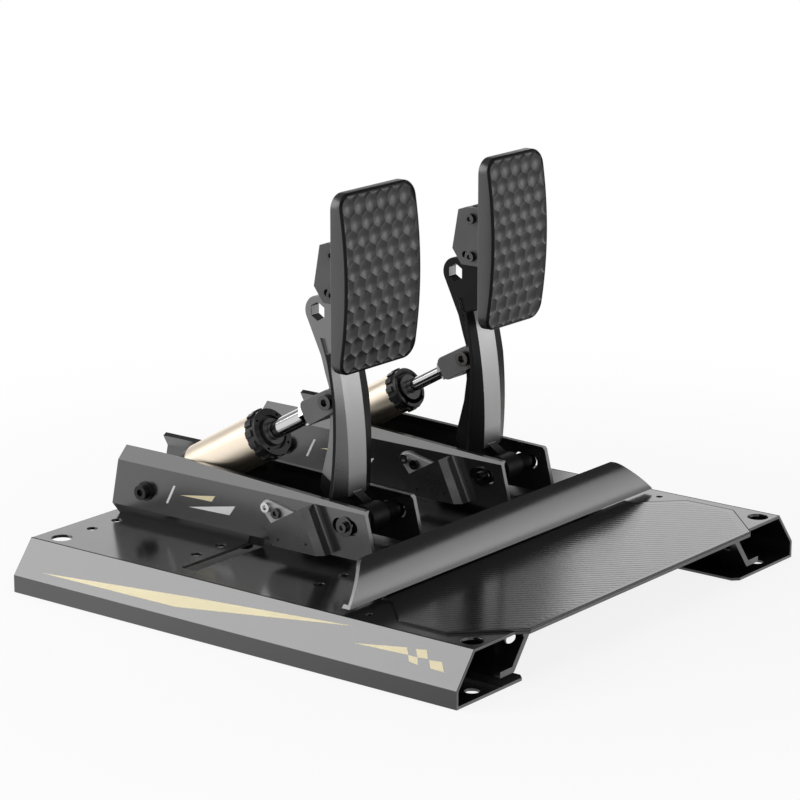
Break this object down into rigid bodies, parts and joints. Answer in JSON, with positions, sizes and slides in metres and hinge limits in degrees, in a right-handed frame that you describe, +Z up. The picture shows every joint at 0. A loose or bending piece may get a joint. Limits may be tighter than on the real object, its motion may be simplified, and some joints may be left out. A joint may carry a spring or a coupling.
{
  "type": "sim racing pedal set",
  "caption": "Racing simulator brake and throttle pedals on a folded sheet base, with honeycomb pads, curved arms, spring dampers, a kicker plate and a ribbed heel plate.",
  "frame": {"origin": "bottom centre of the whole set, on the floor", "axes": "+X to the driver's right, +Y forward, away from the driver, +Z up"},
  "size_m": [0.374, 0.3644, 0.274],
  "materials": {
    "base_black": "satin powder coat",
    "heel_plate": "fine diagonal ribs",
    "plate_black": "satin powder coat",
    "black_fasteners": "black oxide",
    "steel": "machined",
    "dark_grey": "anodised",
    "light_grey": "anodised",
    "arm_grey": "anodised, satin",
    "clevis_grey": "anodised, matt",
    "bronze": "sintered",
    "pad_black": "anodised, satin",
    "gold": "anodised, satin",
    "collar_black": "anodised, satin",
    "chrome": "polished",
    "sensor_black": "fine texture",
    "board": "solder mask"
  },
  "bodies": {
    "base": {"base_plate": "base_black", "rail_web_left": "base_black", "rail_web_right": "base_black", "heel_plate": "heel_plate", "kicker_plate": "base_black", "deck_screws": "black_fasteners", "brake_left_plate": "plate_black", "brake_right_plate": "plate_black", "brake_mount_bolts": "black_fasteners", "brake_axle": "steel", "brake_axle_screws": "steel", "brake_axle_spacers": "black_fasteners", "brake_front_bolt": "black_fasteners", "brake_front_spacers": "dark_grey", "brake_sensor_box": "sensor_black", "brake_sensor_board": "board", "brake_sensor_bracket": "light_grey", "brake_sensor_screws": "steel", "throttle_left_plate": "plate_black", "throttle_right_plate": "plate_black", "throttle_mount_bolts": "black_fasteners", "throttle_axle": "steel", "throttle_axle_screws": "steel", "throttle_axle_spacers": "black_fasteners", "throttle_front_bolt": "black_fasteners", "throttle_front_spacers": "dark_grey", "throttle_sensor_box": "sensor_black", "throttle_sensor_board": "board", "throttle_sensor_bracket": "light_grey", "throttle_sensor_screws": "steel"},
    "brake_arm": {"brake_arm": "arm_grey", "brake_arm_bushes": "bronze", "brake_bracket_bolts": "steel"},
    "brake_face": {"brake_face_bracket": "dark_grey", "brake_pad": "pad_black", "brake_pad_screws": "steel"},
    "brake_barrel": {"brake_barrel": "gold", "brake_end_cap": "collar_black", "brake_gland": "dark_grey", "brake_spring": "steel"},
    "brake_collar": {"brake_collar": "collar_black"},
    "brake_rod": {"brake_rod": "chrome", "brake_piston": "dark_grey", "brake_clevis": "clevis_grey", "brake_clevis_bolt": "steel"},
    "throttle_arm": {"throttle_arm": "arm_grey", "throttle_arm_bushes": "bronze", "throttle_bracket_bolts": "steel"},
    "throttle_face": {"throttle_face_bracket": "dark_grey", "throttle_pad": "pad_black", "throttle_pad_screws": "steel"},
    "throttle_barrel": {"throttle_barrel": "gold", "throttle_end_cap": "collar_black", "throttle_gland": "dark_grey", "throttle_spring": "steel"},
    "throttle_collar": {"throttle_collar": "collar_black"},
    "throttle_rod": {"throttle_rod": "chrome", "throttle_piston": "dark_grey", "throttle_clevis": "clevis_grey", "throttle_clevis_bolt": "steel"}
  },
  "joints": [
    {"name": "brake_pedal", "type": "hinge", "parent": "base", "child": "brake_arm", "pos_m": [-0.072, -0.02135, 0.061], "axis": [-1, 0, 0], "range_deg": [0, 10], "stiffness_Nm_per_rad": 120, "springref_deg": -2.86},
    {"name": "brake_face_tilt", "type": "hinge", "parent": "brake_arm", "child": "brake_face", "pos_m": [-0.072, 0.00145, 0.2287], "axis": [-1, 0, 0], "range_deg": [0, 12]},
    {"name": "brake_damper_swing", "type": "hinge", "parent": "base", "child": "brake_barrel", "pos_m": [-0.072, 0.14675, 0.054], "axis": [-1, 0, 0], "range_deg": [0, 1]},
    {"name": "brake_damper_stroke", "type": "slide", "parent": "brake_barrel", "child": "brake_rod", "axis": [0, 0.8703, -0.4925], "range_m": [0, 0.014], "deforming": ["brake_spring"]},
    {"name": "brake_collar_turn", "type": "hinge", "parent": "brake_barrel", "child": "brake_collar", "pos_m": [-0.072, 0.14675, 0.054], "axis": [0, 0.8703, -0.4925], "continuous": true},
    {"name": "throttle_pedal", "type": "hinge", "parent": "base", "child": "throttle_arm", "pos_m": [0.072, -0.02135, 0.061], "axis": [-1, 0, 0], "range_deg": [0, 16], "stiffness_Nm_per_rad": 14, "springref_deg": -8.59},
    {"name": "throttle_face_tilt", "type": "hinge", "parent": "throttle_arm", "child": "throttle_face", "pos_m": [0.072, 0.00145, 0.2287], "axis": [-1, 0, 0], "range_deg": [0, 12]},
    {"name": "throttle_damper_swing", "type": "hinge", "parent": "base", "child": "throttle_barrel", "pos_m": [0.072, 0.14675, 0.054], "axis": [-1, 0, 0], "range_deg": [0, 1]},
    {"name": "throttle_damper_stroke", "type": "slide", "parent": "throttle_barrel", "child": "throttle_rod", "axis": [0, 0.8703, -0.4925], "range_m": [0, 0.0221], "deforming": ["throttle_spring"]},
    {"name": "throttle_collar_turn", "type": "hinge", "parent": "throttle_barrel", "child": "throttle_collar", "pos_m": [0.072, 0.14675, 0.054], "axis": [0, 0.8703, -0.4925], "continuous": true}
  ],
  "couplings": [
    {"joint": "brake_damper_swing", "follows": "brake_pedal", "ratio": 0.051},
    {"joint": "brake_damper_stroke", "follows": "brake_pedal", "m_per_rad": 0.0774},
    {"joint": "throttle_damper_swing", "follows": "throttle_pedal", "ratio": 0.03},
    {"joint": "throttle_damper_stroke", "follows": "throttle_pedal", "m_per_rad": 0.0775}
  ]
}
